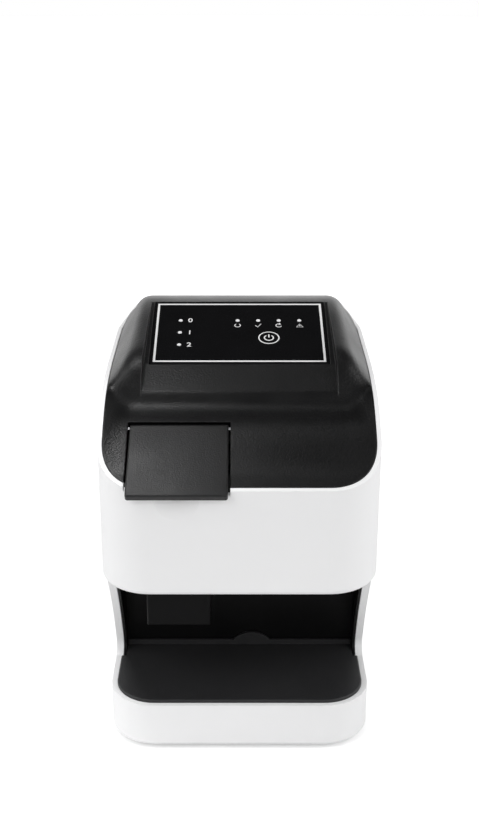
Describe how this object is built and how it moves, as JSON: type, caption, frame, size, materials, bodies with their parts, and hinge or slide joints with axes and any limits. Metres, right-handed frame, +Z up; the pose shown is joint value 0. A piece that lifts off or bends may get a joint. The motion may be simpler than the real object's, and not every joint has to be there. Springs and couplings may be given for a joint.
{
  "type": "phosphor plate scanner",
  "caption": "Compact dental image plate scanner: lidded feed slot and key panel on a sloped black top, white head over an open bay with a sliding tray.",
  "frame": {"origin": "centre of the bounding box in plan, on the surface that the rubber feet stand on", "axes": "+Z up, the front with the open bay faces -Y, +X to the viewer's right"},
  "size_m": [0.156, 0.24, 0.2309],
  "materials": {
    "white_housing": "satin white moulding",
    "black_cover": "fine grained black moulding",
    "black_bay": "fine grained black moulding",
    "panel_gloss": "glossy black overlay",
    "pale_print": "pale inlay line",
    "lens": "cloudy light lens",
    "key_gloss": "glossy black key",
    "rubber": "soft black rubber",
    "roller_rubber": "ground rubber on a steel shaft",
    "belt": "black belt rubber",
    "board": "green circuit board",
    "steel": "plain steel",
    "zinc": "zinc coated sheet",
    "aluminium": "milled aluminium",
    "gear_plastic": "pale gear plastic",
    "brass": "plain bronze bush",
    "chute_plastic": "dark grey moulding",
    "motor_can": "drawn steel can",
    "glass": "clear optical glass",
    "blue_glass": "blue coloured glass",
    "mirror": "bright inner reflector",
    "tube_glass": "coated tube glass",
    "socket_plastic": "black socket plastic"
  },
  "bodies": {
    "housing": {"head_shell": "white_housing", "lower_housing": "white_housing", "top_cover": "black_cover", "control_panel": "panel_gloss", "panel_frame": "pale_print", "status_lenses": "lens", "control_board": "board", "lid_hinge_pin": "steel", "feed_slot": "black_bay", "bay_liner": "black_bay", "outlet_chute": "chute_plastic", "erase_board": "board", "heat_sink": "aluminium", "bottom_plate": "zinc", "rubber_feet": "rubber", "rear_cover": "white_housing", "network_socket": "zinc", "usb_socket": "zinc", "power_socket": "socket_plastic", "main_board": "board", "housing_screws": "steel", "board_screws": "steel", "chassis_plate": "zinc", "left_side_plate": "zinc", "right_side_plate": "zinc", "tie_rods": "steel", "shaft_bearings": "brass", "idler_axle": "steel", "drive_motor": "motor_can", "motor_bracket": "zinc", "transport_belts": "belt", "plate_sensors": "socket_plastic", "curved_guide": "aluminium", "optics_bracket": "aluminium", "laser_module": "brass", "prism_motor": "motor_can", "light_collector": "mirror", "blue_filter": "blue_glass", "light_tube": "tube_glass", "tube_socket": "socket_plastic", "signal_board": "board", "board_posts": "brass"},
    "lid": {"light_lid": "black_cover"},
    "key": {"power_key": "key_gloss"},
    "slider": {"size_slider": "chute_plastic"},
    "tray": {"output_tray": "black_bay"},
    "upper_drive": {"upper_roller": "steel", "shaft_gear": "gear_plastic"},
    "lower_drive": {"lower_roller": "steel"},
    "idler": {"idler_gear": "gear_plastic"},
    "pinion": {"motor_pinion": "brass"},
    "upper_pinch": {"upper_pinch_roller": "roller_rubber"},
    "lower_pinch": {"lower_pinch_roller": "roller_rubber"},
    "prism": {"prism_rotor": "glass"}
  },
  "joints": [
    {"name": "lid_hinge", "type": "hinge", "parent": "housing", "child": "lid", "pos_m": [-0.035, -0.0766, 0.1856], "axis": [-1, 0, 0], "range_deg": [0, 115]},
    {"name": "power_key_press", "type": "slide", "parent": "housing", "child": "key", "axis": [0, 0.3074, -0.9516], "range_m": [0, 0.0006], "stiffness_N_per_m": 800, "springref_m": -0.0002},
    {"name": "size_slide", "type": "slide", "parent": "housing", "child": "slider", "axis": [-1, 0, 0], "range_m": [0, 0.009]},
    {"name": "tray_slide", "type": "slide", "parent": "housing", "child": "tray", "axis": [0, -1, 0], "range_m": [0, 0.062]},
    {"name": "upper_roller_spin", "type": "hinge", "parent": "housing", "child": "upper_drive", "pos_m": [-0.035, -0.09415, 0.149], "axis": [1, 0, 0], "continuous": true},
    {"name": "lower_roller_spin", "type": "hinge", "parent": "housing", "child": "lower_drive", "pos_m": [-0.035, -0.09415, 0.115], "axis": [1, 0, 0], "continuous": true},
    {"name": "idler_spin", "type": "hinge", "parent": "housing", "child": "idler", "pos_m": [-0.035, -0.07855, 0.1334], "axis": [1, 0, 0], "continuous": true},
    {"name": "motor_spin", "type": "hinge", "parent": "housing", "child": "pinion", "pos_m": [-0.035, -0.0672, 0.12205], "axis": [1, 0, 0], "continuous": true},
    {"name": "upper_pinch_spin", "type": "hinge", "parent": "housing", "child": "upper_pinch", "pos_m": [-0.035, -0.0802, 0.149], "axis": [1, 0, 0], "continuous": true},
    {"name": "lower_pinch_spin", "type": "hinge", "parent": "housing", "child": "lower_pinch", "pos_m": [-0.035, -0.0802, 0.115], "axis": [1, 0, 0], "continuous": true},
    {"name": "prism_spin", "type": "hinge", "parent": "housing", "child": "prism", "pos_m": [-0.035, -0.0332, 0.132], "axis": [0, 0, 1], "continuous": true}
  ],
  "couplings": [
    {"joint": "lower_roller_spin", "follows": "upper_roller_spin", "ratio": 1},
    {"joint": "idler_spin", "follows": "upper_roller_spin", "ratio": -1.2},
    {"joint": "motor_spin", "follows": "upper_roller_spin", "ratio": 2},
    {"joint": "upper_pinch_spin", "follows": "upper_roller_spin", "ratio": -1.47},
    {"joint": "lower_pinch_spin", "follows": "upper_roller_spin", "ratio": -1.47}
  ]
}
